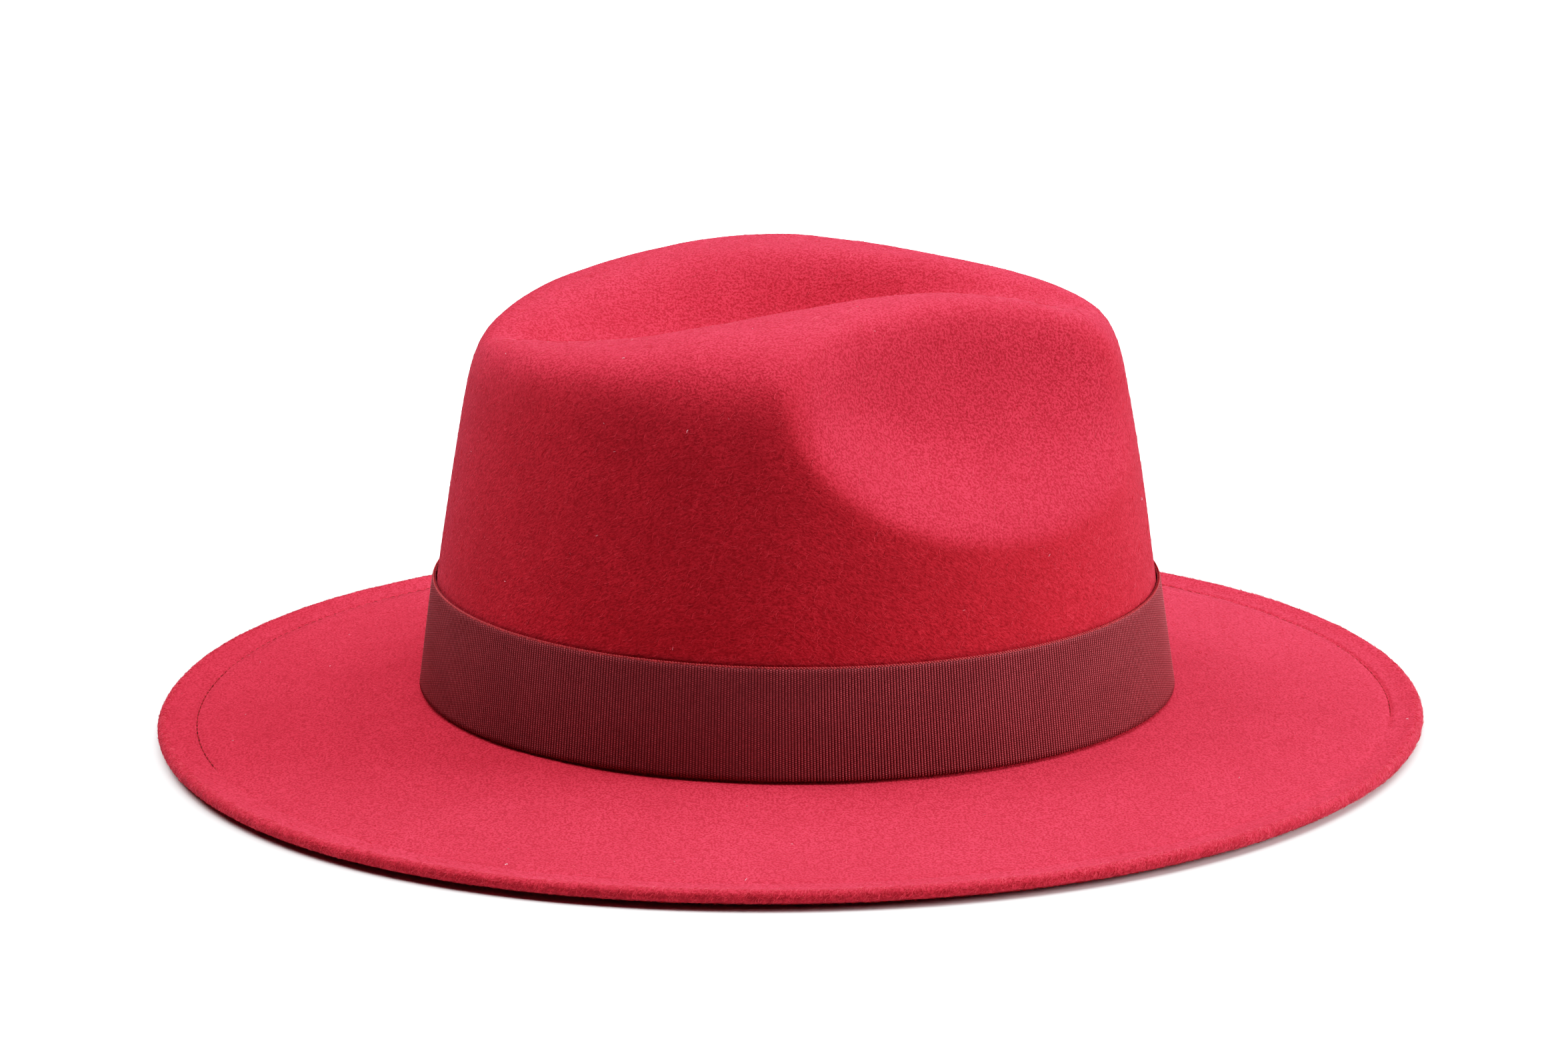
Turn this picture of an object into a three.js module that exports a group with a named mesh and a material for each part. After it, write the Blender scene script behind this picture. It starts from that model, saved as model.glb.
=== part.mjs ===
// Felt fedora: one blocked felt body (crown, brim and folded rim) and a ribbon band around it.
// Sizes in mm. +Z is up, the front of the hat faces -Y, the brim rests on z = 0.
import * as THREE from 'three';

const FELT = 2.4;               // thickness of the felt
const COLUMNS = 64;             // facets around the hat

// Crown, as drawn about its own middle
const CROWN_Y = -1.8;           // middle of the crown, in front of the middle of the brim
const RIDGE_FRONT = -78.5;      // ends of the ridge loop
const RIDGE_BACK = 80.4;
const CREASE_FRONT = -71;       // ends of the floor of the top crease
const CREASE_BACK = 62;
const CREASE_ROUND = 0.45;      // how round the crease is at its lips and its floor
const CREASE_SPREAD = 0.5;      // how evenly the sections meet its floor

// Outside of the wall: the oval at each height
const WALL = [
  { z: 8, halfLength: 102.1, halfWidth: 85.2, middle: 0 },
  { z: 43, halfLength: 97.4, halfWidth: 81.3, middle: 0 },
  { z: 71, halfLength: 93.4, halfWidth: 78.0, middle: -0.4 },
  { z: 99, halfLength: 88.6, halfWidth: 74.2, middle: -0.6 },
  { z: 127, halfLength: 83.0, halfWidth: 69.6, middle: -0.8 },
];

// Sections around one half of the crown, in degrees from the front. Each wall leaves its oval at
// shoulderZ, rolls over with the given fullness to the ridge, and falls into the crease at creaseZ.
const SECTIONS = [
  { deg: 0, ridgeHalf: 0.0, ridgeZ: 116.4, shoulderZ: 101, fullness: 0.52, creaseZ: 117.4 },
  { deg: 22, ridgeHalf: 7.6, ridgeZ: 118.8, shoulderZ: 92, fullness: 0.43, creaseZ: 118.4 },
  { deg: 42, ridgeHalf: 12.4, ridgeZ: 123.2, shoulderZ: 76, fullness: 0.51, creaseZ: 119.2 },
  { deg: 58, ridgeHalf: 17.6, ridgeZ: 126.1, shoulderZ: 75, fullness: 0.49, creaseZ: 116.6 },
  { deg: 74, ridgeHalf: 24.4, ridgeZ: 126.9, shoulderZ: 82, fullness: 0.64, creaseZ: 111.4 },
  { deg: 90, ridgeHalf: 33.2, ridgeZ: 125.9, shoulderZ: 90, fullness: 0.78, creaseZ: 106.6 },
  { deg: 106, ridgeHalf: 39.0, ridgeZ: 123.7, shoulderZ: 88, fullness: 0.80, creaseZ: 104.0 },
  { deg: 122, ridgeHalf: 37.4, ridgeZ: 120.2, shoulderZ: 90, fullness: 0.79, creaseZ: 103.2 },
  { deg: 140, ridgeHalf: 28.2, ridgeZ: 116.8, shoulderZ: 90, fullness: 0.76, creaseZ: 103.8 },
  { deg: 158, ridgeHalf: 14.0, ridgeZ: 113.7, shoulderZ: 94, fullness: 0.58, creaseZ: 105.2 },
  { deg: 180, ridgeHalf: 0.0, ridgeZ: 110.8, shoulderZ: 93, fullness: 0.56, creaseZ: 106.4 },
];

// The pinch pressed into each side near the front: an oval from the ridge down to lowZ, pushed in and
// back at turnDeg. Its deepest spot lies off the oval's middle, by shares of its half spans.
const DENT = {
  deg: 48,
  backSpan: 45,
  frontSpan: 46,
  lowZ: 69,
  depth: 19.1,
  power: 1.72,
  turnDeg: 56,
  deepAcross: 0.35,
  deepDown: 0.25,
};

// Ribbon
const RIBBON_FOOT = 12.86;      // lower edge at the sides
const RIBBON_TILT = 1.16;       // the band dips this much towards the front
const RIBBON_HEIGHT = 30.2;
const RIBBON_THICK = 1.0;
const RIBBON_BEVEL = 0.35;      // at its two outer edges
const RIBBON_GAP = 0.35;        // air between the felt and the ribbon
const LAP = { fromDeg: 97, toDeg: 107, edgeDeg: 0.5 };   // folded end lapped over, on the wearer's left

// Brim
const BRIM_HALF_LENGTH = 172.2;
const BRIM_HALF_WIDTH = 150.6;
const BRIM_FULL_FRONT = 0.01;   // how much blunter than an ellipse its ends are
const BRIM_FULL_BACK = 0.05;
const BRIM_EASE = 0.35;         // the brim falls faster near the crown
const BREAK_RADIUS = 1.6;       // inside corner between crown and brim
const BREAK_DROP = 0.9;         // brim surface below the ribbon's lower edge

// Rim folded under, stitched and turned up a little: distance in from the edge, and height
const RIM = [
  { inset: 13.2, z: 4.6 },
  { inset: 12.5, z: 3.9 },
  { inset: 11.8, z: 4.6 },
  { inset: 7.4, z: 4.8 },
  { inset: 2.4, z: 5.5 },
  { inset: 0.8, z: 5.1 },
  { inset: 0.0, z: 3.6 },
  { inset: 0.5, z: 2.1 },
  { inset: 1.8, z: 1.2 },
  { inset: 8.0, z: 0.0 },
  { inset: 11.6, z: 0.0 },
  { inset: 12.4, z: 0.5 },
  { inset: 12.6, z: 2.2 },
];

const SIDE_ROWS = 20;           // facets from the foot of the crown to the ridge
const CREASE_ROWS = 7;          // facets from the ridge to the floor of the crease
const BREAK_ROWS = 2;
const BRIM_ROWS = 4;
const FINE = 80;                // steps for measuring lengths along a section
const SLOPE_STEP = 0.5;         // height over which the lean of the wall is read

const FELT_FINISH = { color: 0xc8233c, roughness: 0.95 };
const RIBBON_FINISH = { color: 0x5e1a20, roughness: 0.8 };

const rad = (deg) => (deg * Math.PI) / 180;
const mix = (a, b, t) => a + (b - a) * t;
const fromFront = (deg) => Math.abs((((deg + 180) % 360) + 360) % 360 - 180);

// Cubic through table rows; each slope comes from the parabola through three rows.
function curve(xs, ys, at) {
  const last = xs.length - 1;
  const rise = (i) => (ys[i + 1] - ys[i]) / (xs[i + 1] - xs[i]);
  const slope = (i) => {
    if (i === 0) return rise(0);
    if (i === last) return rise(last - 1);
    const before = xs[i] - xs[i - 1];
    const after = xs[i + 1] - xs[i];
    return (rise(i - 1) * after + rise(i) * before) / (before + after);
  };
  let i = 0;
  while (i < last - 1 && at >= xs[i + 1]) i += 1;
  const span = xs[i + 1] - xs[i];
  const t = (at - xs[i]) / span;
  const u = 1 - t;
  return (1 + 2 * t) * u * u * ys[i] + t * u * u * span * slope(i)
    + t * t * (3 - 2 * t) * ys[i + 1] - t * t * u * span * slope(i + 1);
}

// A column of SECTIONS read all the way round, mirrored about the front and the back.
function around(column, deg, mirror = 1) {
  const turn = ((deg % 360) + 360) % 360;
  const xs = [];
  const ys = [];
  const count = SECTIONS.length;
  for (let k = -2; k < 2 * count; k += 1) {
    const lap = Math.floor(k / (2 * count - 2));
    const step = k - lap * (2 * count - 2);
    const other = step >= count;
    const row = SECTIONS[other ? 2 * count - 2 - step : step];
    xs.push(360 * lap + (other ? 360 - row.deg : row.deg));
    ys.push(row[column] * (other ? mirror : 1));
  }
  return curve(xs, ys, turn);
}

function wallSize(column, z) {
  return curve(WALL.map((row) => row.z), WALL.map((row) => row[column]), z);
}

function wallPoint(deg, z, out = 0) {
  const halfLength = wallSize('halfLength', z);
  const halfWidth = wallSize('halfWidth', z);
  const sine = Math.sin(rad(deg));
  const cosine = Math.cos(rad(deg));
  const normal = new THREE.Vector2(sine / halfWidth, -cosine / halfLength).normalize();
  const x = halfWidth * sine + out * normal.x;
  const y = wallSize('middle', z) - halfLength * cosine + out * normal.y;
  return new THREE.Vector3(x, y, z);
}

function ridgePoint(deg) {
  const y = mix(RIDGE_FRONT, RIDGE_BACK, (1 - Math.cos(rad(deg))) / 2);
  return new THREE.Vector3(around('ridgeHalf', deg, -1), y, around('ridgeZ', deg));
}

function bezier(p, q, r, s, t) {
  const u = 1 - t;
  return new THREE.Vector3()
    .addScaledVector(p, u * u * u)
    .addScaledVector(q, 3 * u * u * t)
    .addScaledVector(r, 3 * u * t * t)
    .addScaledVector(s, t * t * t);
}

const ribbonFoot = (deg) => RIBBON_FOOT - RIBBON_TILT * Math.cos(rad(deg));
const brimRoot = (deg) => ribbonFoot(deg) - BREAK_DROP;
const crownFoot = (deg) => brimRoot(deg) + BREAK_RADIUS;

// How far the pinch pushes the wall in, at a length below the ridge: fully at its deepest spot, and
// less and less towards the edge of its oval.
function dentDepth(deg, below, lowLength) {
  const turn = fromFront(deg) - DENT.deg;
  const across = turn / (turn > 0 ? DENT.backSpan : DENT.frontSpan) - DENT.deepAcross;
  const down = (2 * below) / lowLength - 1 - DENT.deepDown;
  const lean = DENT.deepAcross * across + DENT.deepDown * down;
  const room = 1 - DENT.deepAcross ** 2 - DENT.deepDown ** 2;
  const toEdge = (Math.sqrt(lean * lean + (across * across + down * down) * room) + lean) / room;
  return DENT.depth * Math.max(0, 1 - toEdge * toEdge) ** DENT.power;
}

// One section of the crown, from the floor of the crease over the ridge to the foot of the wall.
function crownSection(deg) {
  const shoulderZ = around('shoulderZ', deg);
  const full = around('fullness', deg);
  const shoulder = wallPoint(deg, shoulderZ);
  const upward = shoulder.clone().sub(wallPoint(deg, shoulderZ - SLOPE_STEP)).divideScalar(SLOPE_STEP);
  const ridge = ridgePoint(deg);
  const floorShare = mix((1 - Math.cos(rad(deg))) / 2, fromFront(deg) / 180, CREASE_SPREAD);
  const floor = new THREE.Vector3(0, mix(CREASE_FRONT, CREASE_BACK, floorShare), around('creaseZ', deg));
  const out = new THREE.Vector3(ridge.x - floor.x, ridge.y - floor.y, 0);
  const drop = out.length();
  out.normalize();
  const reach = Math.hypot(shoulder.x - ridge.x, shoulder.y - ridge.y);
  const wallHandle = shoulder.clone().addScaledVector(upward, (ridge.z - shoulderZ) * full);
  const ridgeHandle = ridge.clone().addScaledVector(out, reach * full);

  const foot = crownFoot(deg);
  const fine = [];
  for (let k = 0; k <= FINE; k += 1) fine.push(wallPoint(deg, mix(foot, shoulderZ, k / FINE)));
  for (let k = 1; k <= FINE; k += 1) fine.push(bezier(shoulder, wallHandle, ridgeHandle, ridge, k / FINE));
  const run = [0];
  for (let k = 1; k < fine.length; k += 1) run.push(run[k - 1] + fine[k].distanceTo(fine[k - 1]));
  const whole = run[run.length - 1];
  let low = 0;
  while (fine[low].z < DENT.lowZ) low += 1;
  const lowLength = whole - run[low];

  const side = Math.sign(Math.sin(rad(deg)));
  const rows = [];
  for (let k = 0; k < SIDE_ROWS; k += 1) {
    const length = (whole * k) / SIDE_ROWS;
    let j = 1;
    while (run[j] < length) j += 1;
    const t = (length - run[j - 1]) / (run[j] - run[j - 1]);
    const point = fine[j - 1].clone().lerp(fine[j], t);
    const depth = dentDepth(deg, whole - length, lowLength);
    point.x -= side * depth * Math.sin(rad(DENT.turnDeg));
    point.y += depth * Math.cos(rad(DENT.turnDeg));
    rows.push(point);
  }

  const lip = ridge.clone().addScaledVector(out, -drop * CREASE_ROUND);
  const bed = floor.clone().addScaledVector(out, drop * CREASE_ROUND);
  for (let k = 0; k <= CREASE_ROWS; k += 1) rows.push(bezier(ridge, lip, bed, floor, k / CREASE_ROWS));
  rows.forEach((point) => { point.y += CROWN_Y; });
  return rows.reverse();
}

// Joins rings of points into faces. The first or last ring may be pinched: its two halves share one
// line of points. A closed skin goes from the last ring back to the first. The faces' diagonals turn
// round from quarter to quarter, so that the two sides of the hat mirror each other.
function skin(rows, pinchedFirst, pinchedLast, closed) {
  const columns = rows[0].length;
  const positions = [];
  const starts = [];
  rows.forEach((row) => {
    starts.push(positions.length / 3);
    row.forEach((point) => positions.push(point.x, point.y, point.z));
  });
  const spot = (row, column) => {
    const c = column % columns;
    const pinched = (row === 0 && pinchedFirst) || (row === rows.length - 1 && pinchedLast);
    return starts[row] + (pinched ? Math.min(c, columns - c) : c);
  };
  const faces = [];
  const spans = closed ? rows.length : rows.length - 1;
  for (let r = 0; r < spans; r += 1) {
    const next = (r + 1) % rows.length;
    const atLastPinch = pinchedLast && r === spans - 1;
    for (let c = 0; c < columns; c += 1) {
      const corners = [spot(r, c), spot(next, c), spot(next, c + 1), spot(r, c + 1)];
      const oddQuarter = Math.floor((4 * c) / columns) % 2 === 1;
      if (oddQuarter !== atLastPinch) corners.push(corners.shift());
      faces.push(corners[0], corners[1], corners[2], corners[0], corners[2], corners[3]);
    }
  }
  const geometry = new THREE.BufferGeometry();
  geometry.setAttribute('position', new THREE.Float32BufferAttribute(positions, 3));
  geometry.setIndex(faces);
  return geometry;
}

// The same rows moved in along their normals by the thickness of the felt.
function lining(rows) {
  const columns = rows[0].length;
  const normals = rows.map((row) => row.map(() => new THREE.Vector3()));
  const edgeA = new THREE.Vector3();
  const edgeB = new THREE.Vector3();
  for (let r = 0; r + 1 < rows.length; r += 1) {
    for (let c = 0; c < columns; c += 1) {
      const d = (c + 1) % columns;
      edgeA.subVectors(rows[r + 1][d], rows[r][c]);
      edgeB.subVectors(rows[r][d], rows[r + 1][c]);
      const face = edgeA.clone().cross(edgeB);
      [normals[r][c], normals[r][d], normals[r + 1][c], normals[r + 1][d]].forEach((n) => n.add(face));
    }
  }
  normals[0] = normals[0].map((n, c) => n.clone().add(normals[0][(columns - c) % columns]));
  const inward = (point, n) => point.clone().addScaledVector(n.normalize(), -FELT);
  return rows.map((row, r) => row.map((point, c) => inward(point, normals[r][c])));
}

const columnDegrees = () => Array.from({ length: COLUMNS }, (unused, c) => (360 * c) / COLUMNS);

// Crown, brim and folded rim as one skin, from the crease outwards and back along the inside.
function feltBody() {
  const degrees = columnDegrees();
  const sections = degrees.map(crownSection);
  const crown = sections[0].map((unused, r) => sections.map((section) => section[r]));
  const inside = lining(crown);

  const spokes = degrees.map((deg) => {
    const sine = Math.sin(rad(deg));
    const cosine = Math.cos(rad(deg));
    const full = 1 + (cosine > 0 ? BRIM_FULL_FRONT : BRIM_FULL_BACK) * cosine * cosine;
    const edge = new THREE.Vector3(BRIM_HALF_WIDTH * sine * full, -BRIM_HALF_LENGTH * cosine, 0);
    const foot = wallPoint(deg, crownFoot(deg));
    foot.y += CROWN_Y;
    foot.z = 0;
    return { deg, edge, foot, out: edge.clone().sub(foot).normalize() };
  });
  const ring = (place) => spokes.map((spoke) => {
    const { base, out, z } = place(spoke);
    return base.clone().addScaledVector(spoke.out, out).setZ(z);
  });
  const breakRing = (turn, depth) => ring(({ deg, foot }) => ({
    base: foot,
    out: BREAK_RADIUS - (BREAK_RADIUS + depth) * Math.cos(turn),
    z: crownFoot(deg) - (BREAK_RADIUS + depth) * Math.sin(turn),
  }));
  const brimRing = (share, depth) => ring(({ deg, foot, edge, out }) => {
    const root = foot.clone().addScaledVector(out, BREAK_RADIUS);
    const end = edge.clone().addScaledVector(out, -RIM[0].inset);
    const fall = share * (1 + BRIM_EASE * (1 - share));
    return { base: root.lerp(end, share), out: 0, z: mix(brimRoot(deg), RIM[0].z, fall) - depth };
  });

  const rows = [...crown];
  for (let k = 1; k <= BREAK_ROWS; k += 1) rows.push(breakRing((k / BREAK_ROWS) * Math.PI / 2, 0));
  for (let k = 1; k < BRIM_ROWS; k += 1) rows.push(brimRing(k / BRIM_ROWS, 0));
  RIM.forEach(({ inset, z }) => rows.push(ring(({ edge }) => ({ base: edge, out: -inset, z }))));
  for (let k = BRIM_ROWS - 1; k >= 1; k -= 1) rows.push(brimRing(k / BRIM_ROWS, FELT));
  for (let k = BREAK_ROWS; k >= 1; k -= 1) rows.push(breakRing((k / BREAK_ROWS) * Math.PI / 2, FELT));
  rows.push(...inside.reverse());
  return skin(rows, true, true, false);
}

// The ribbon as a ring, doubled where its end laps over.
function ribbonBand() {
  const lapEnds = [LAP.fromDeg - LAP.edgeDeg, LAP.fromDeg, LAP.toDeg, LAP.toDeg + LAP.edgeDeg];
  const clear = columnDegrees().filter((deg) => lapEnds.every((end) => Math.abs(end - deg) > LAP.edgeDeg));
  const columns = [...clear, ...lapEnds].sort((a, b) => a - b);
  const inner = RIBBON_GAP;
  const edge = RIBBON_GAP + RIBBON_THICK - RIBBON_BEVEL;
  const outer = RIBBON_GAP + RIBBON_THICK;
  const bevel = RIBBON_BEVEL / RIBBON_HEIGHT;
  const profile = [
    { share: 0, out: inner },
    { share: 0, out: edge },
    { share: bevel, out: outer },
    { share: 0.5, out: outer },
    { share: 1 - bevel, out: outer },
    { share: 1, out: edge },
    { share: 1, out: inner },
    { share: 0.5, out: inner },
  ];
  const rows = profile.map(({ share, out }) => columns.map((deg) => {
    const lapped = out > inner && deg >= LAP.fromDeg && deg <= LAP.toDeg;
    const point = wallPoint(deg, ribbonFoot(deg) + RIBBON_HEIGHT * share, out + (lapped ? RIBBON_THICK : 0));
    point.y += CROWN_Y;
    return point;
  }));
  return skin(rows.reverse(), false, false, true);
}

function piece(name, geometry, finish) {
  geometry.computeVertexNormals();
  const mesh = new THREE.Mesh(geometry, new THREE.MeshStandardMaterial(finish));
  mesh.name = name;
  return mesh;
}

const hat = new THREE.Group();
hat.name = 'fedora';
hat.add(piece('felt_body', feltBody(), FELT_FINISH));
hat.add(piece('ribbon_band', ribbonBand(), RIBBON_FINISH));

export default hat;
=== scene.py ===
"""Red felt fedora with a ribbed ribbon, standing on its brim on a pale floor.

Sizes are in millimetres, and become metres where a mesh is made. +Z is up and the front faces -Y.
Places round the hat are in degrees from the front, with the wearer's left side at 90.
"""
import math

import bpy
import numpy as np
from mathutils import Matrix


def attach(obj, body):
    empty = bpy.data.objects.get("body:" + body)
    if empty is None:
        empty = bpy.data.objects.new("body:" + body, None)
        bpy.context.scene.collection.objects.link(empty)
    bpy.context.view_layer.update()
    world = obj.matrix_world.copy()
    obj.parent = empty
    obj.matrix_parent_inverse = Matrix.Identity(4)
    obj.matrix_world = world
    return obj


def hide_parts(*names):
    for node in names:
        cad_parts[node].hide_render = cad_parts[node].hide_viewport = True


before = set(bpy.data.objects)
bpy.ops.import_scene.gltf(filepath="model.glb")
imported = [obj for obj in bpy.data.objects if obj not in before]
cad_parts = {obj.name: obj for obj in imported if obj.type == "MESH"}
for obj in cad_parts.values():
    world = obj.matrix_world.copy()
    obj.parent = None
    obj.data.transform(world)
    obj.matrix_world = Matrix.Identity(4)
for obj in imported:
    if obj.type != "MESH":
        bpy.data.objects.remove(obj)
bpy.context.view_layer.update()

MM = 0.001
SEED = 7
UP = (0, 0, 1)

# Felt of the crown, as drawn about its own middle: its thickness, the ends of the ridge and of the crease's
# floor, how round the crease is, and how evenly its floor is spread from front to back
FELT = 2.4
CROWN_Y = -1.8
RIDGE_FRONT, RIDGE_BACK = -78.5, 80.4
CREASE_FRONT, CREASE_BACK = -71.0, 62.0
CREASE_ROUND, CREASE_SPREAD = 0.45, 0.5

# Outside of the wall: the oval at each height, and the step in height that gives its slope
WALL_COLUMNS = ("z", "half_length", "half_width", "middle")
WALL = np.array([
    (8, 102.1, 85.2, 0.0),
    (43, 97.4, 81.3, 0.0),
    (71, 93.4, 78.0, -0.4),
    (99, 88.6, 74.2, -0.6),
    (127, 83.0, 69.6, -0.8),
])
SLOPE_STEP = 0.5

# Sections around one half of the crown
SECTION_COLUMNS = ("deg", "ridge_half", "ridge_z", "shoulder_z", "fullness", "crease_z")
SECTIONS = np.array([
    (0, 0.0, 116.4, 101, 0.52, 117.4),
    (22, 7.6, 118.8, 92, 0.43, 118.4),
    (42, 12.4, 123.2, 76, 0.51, 119.2),
    (58, 17.6, 126.1, 75, 0.49, 116.6),
    (74, 24.4, 126.9, 82, 0.64, 111.4),
    (90, 33.2, 125.9, 90, 0.78, 106.6),
    (106, 39.0, 123.7, 88, 0.80, 104.0),
    (122, 37.4, 120.2, 90, 0.79, 103.2),
    (140, 28.2, 116.8, 90, 0.76, 103.8),
    (158, 14.0, 113.7, 94, 0.58, 105.2),
    (180, 0.0, 110.8, 93, 0.56, 106.4),
])

# The pinch pressed into each side near the front: an oval from the ridge down to DENT_LOW_Z, pushed in and
# back at DENT_TURN. Its deepest spot lies off the oval's middle, by shares of its half spans.
DENT_DEG, DENT_BACK_SPAN, DENT_FRONT_SPAN, DENT_LOW_Z = 48.0, 45.0, 46.0, 69.0
DENT_DEPTH, DENT_POWER, DENT_TURN = 19.1, 1.72, math.radians(56)
DENT_DEEP_ACROSS, DENT_DEEP_DOWN = 0.35, 0.25

# Ribbon: its foot, height and thickness, the gap behind it, its lapped end, its ribs, and the beads on a rib
RIBBON_FOOT, RIBBON_TILT, RIBBON_HEIGHT = 12.86, 1.16, 30.2
RIBBON_THICK, RIBBON_GAP = 1.0, 0.35
LAP_FROM, LAP_TO, LAP_EDGE = 97.0, 107.0, 0.5
RIB_PITCH, RIB_DEPTH, RIB_FACETS, RIB_SCALLOP = 0.8, 0.2, 6, 0.28
BEAD_PITCH = 0.52

# Rings of the ribbon, as shares of its height, how far out its edges lie, as a share of its thickness, and
# the points that measure its length
HEM, HEM_SHOULDER, TOP_SHOULDER = 0.006, 0.016, 0.99
BODY_FROM, BODY_TO, BODY_RINGS = 0.05, 0.95, 8
EDGE_OUT = 0.55
RIBBON_SAMPLES = 721

# Brim, and its rim folded under and turned up a little: distance in from the edge, and height. A line through
# a table has RIM_STEPS points, and RIM_SOFTNESS of them round off a corner.
BRIM_HALF_LENGTH, BRIM_HALF_WIDTH, BRIM_EASE = 172.2, 150.6, 0.35
BRIM_FULL_FRONT, BRIM_FULL_BACK = 0.01, 0.05
BREAK_RADIUS, BREAK_DROP = 1.6, 0.9
RIM_TOP = np.array([(13.2, 4.6), (12.5, 3.9), (11.8, 4.6), (7.4, 4.8), (2.4, 5.5), (0.8, 5.1), (0.0, 3.6)])
RIM_UNDER = np.array([(0.0, 3.6), (0.5, 2.3), (1.8, 1.7), (8.0, 0.35), (11.0, 0.0), (12.3, 0.5), (12.6, 2.2)])
RIM_STEPS, RIM_SOFTNESS = 400, 31

# Stitched groove of the rim: its place in RIM_TOP, the shares of that inset at which it lies on most of the
# rim and at the back, and the stretch where the nap has closed over it and filled most of it
SEAM_INSET, SEAM_Z = 12.5, 3.9
SEAM_NEAR, SEAM_BACK = 0.72, 0.86
SEAM_HIDDEN_FROM, SEAM_HIDDEN_TO = 200.0, 352.0
SEAM_FADE, SEAM_FAINT = 8.0, 0.12
GROOVE_HALF, GROOVE_FILL = 0.75, 0.6

# Fineness of the felt's mesh: columns round the hat, rings of each stretch, and steps that measure a side
COLUMNS = 360
SIDE_ROWS, CREASE_ROWS, BREAK_ROWS, BRIM_ROWS = 64, 24, 5, 16
RIM_TOP_ROWS, RIM_UNDER_ROWS, UNDER_BRIM_ROWS = 16, 16, 8
SIDE_STEPS = 160

# Hand-made unevenness: height and length of each set of waves, and the height from which they are full
WAVES = ((0.025, 34.0), (0.0175, 17.0), (0.0125, 9.0))
WAVES_IN_SET, WAVES_FULL_Z = 6, 4.0

# How the wool lies: combed where the wall is upright and not pressed in, puffy on the outer turn of the rim.
# The same marks place the felt's painted shade on the upright wall and in the hollows of the rim's tufts
GRAIN_RADIUS = 89.0
COMBED_FULL, COMBED_FADE, PRESSED = 1.15, 1.6, 5.0
PUFF_FULL, PUFFY, TURNED_DROP = 1.3, 3.5, 1.4

# Loose wool on the felt and specks of lint: how many, their length, width and rise, and a seed
CROWN_NAP = (22000, 1.8, 0.055, 0.14, 11)
BRIM_NAP = (14000, 0.7, 0.055, 0.25, 12)
RIM_NAP = (24000, 1.2, 0.065, 0.24, 13)
LINT = (150, 0.7, 0.14, 0.20, 14)
NAP_TURN = math.radians(75)
NAP_SMALLEST, NAP_LARGEST = 0.6, 1.3

# Rings of the rim before the longer wool of its edge starts, and rings left bare after it
RIM_NAP_AFTER, RIM_NAP_BARE = 11, 10

# Shapes of a fibre: its sideways bend as a share of its length, how high its middle and its tip stand as
# shares of its rise, and its tilt in radians
FIBRE_SHAPES = ((0.35, 1.0, 0.3, 0.4), (-0.5, 0.8, -0.4, -0.5), (0.15, 0.6, 1.1, 1.2))
FIBRE_STEPS = 3

# Threads: stitches of the rim, how high they stand and how far they sink, and loops on the ribbon's edge, in
# rows that each have a slant and a drop below the edge. A thread thins to THREAD_TIP of its thickness.
STITCH_PITCH, STITCH_LENGTH, STITCH_THICK, STITCH_BOW = 3.1, 2.4, 0.38, 0.12
STITCH_LIFT, FAR_LIFT, STITCH_SINK = 0.30, 0.20, 0.9
LOOP_LENGTH, LOOP_THICK, LOOP_BOW, LOOP_OUT = 1.2, 0.55, 0.05, 0.62
LOOP_ROWS = ((math.radians(38), 0.10), (math.radians(-30), 0.42))
THREAD_STEPS, THREAD_SIDES = 6, 6
THREAD_TIP, THREAD_TAPER = 0.25, 0.4
LINE_POINTS = 1440

# Colours
FELT_DEEP = (0.32, 0.029, 0.046, 1)
FELT_RED = (0.47, 0.046, 0.072, 1)
FELT_FIBRE_AND_HIGHLIGHT = (0.60, 0.066, 0.100, 1)
# Painted sheen and painted shade, as tints that multiply the felt's colour: pinker where the felt faces up, a
# deeper red on the upright wall
FELT_TOP_SHEEN_TINT, FELT_WALL_SHADE_TINT = (1.04, 0.98, 1.00, 1), (0.94, 0.75, 0.71, 1)
FELT_SHEEN = (1.0, 0.60, 0.85, 1)
WOOL_DARK, WOOL_PALE = (0.47, 0.042, 0.062, 1), (0.68, 0.082, 0.115, 1)
LINT_DARK, LINT_PALE = (0.55, 0.20, 0.23, 1), (0.72, 0.46, 0.50, 1)
# Painted shade in the grooves between the ribbon's beads
RIBBON_GROOVE_SHADE = (0.14, 0.028, 0.034, 1)
RIBBON_DARK, RIBBON_RED = (0.25, 0.054, 0.064, 1), (0.43, 0.094, 0.113, 1)
RIBBON_SHEEN = (1.0, 0.30, 0.38, 1)
SEAM_DARK, SEAM_PALE = (0.10, 0.010, 0.014, 1), (0.26, 0.024, 0.032, 1)
LOOP_DARK, LOOP_PALE = (0.26, 0.032, 0.040, 1), (0.42, 0.050, 0.060, 1)
BLACK, WHITE = (0, 0, 0, 1), (1, 1, 1, 1)

# Felt's finish: how its grain is drawn out round the hat, contrast of its dust, how much its lighter fibres,
# partly painted highlight, show where it is combed and where it is flat, how much clouds darken it, and how
# high fibres and tufts stand in its relief
GRAIN_STRETCH = (0.6, 0.6, 1.0)
DUST_GAIN = 2.4
FIBRE_COMBED, FIBRE_FLAT = 0.55, 0.12
CLOUD_TINT = 0.22
FIBRE_RELIEF, TUFT_RELIEF = 0.4, 6.0

# Ribbon's finish: how much one bead's tone differs from the next
BEAD_CHANCE = 0.5

# Floor: half its side, how far out from the hat it throws light back up, and its greys
FLOOR_SIZE, FLOOR_NEAR, FLOOR_FAR = 6000.0, 300.0, 520.0
FLOOR_GREY, FLOOR_PALE = (0.84, 0.84, 0.84, 1), (0.87, 0.87, 0.87, 1)
FLOOR_BOUNCE, FLOOR_DIM = (0.80, 0.80, 0.80, 1), (0.06, 0.06, 0.06, 1)

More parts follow.
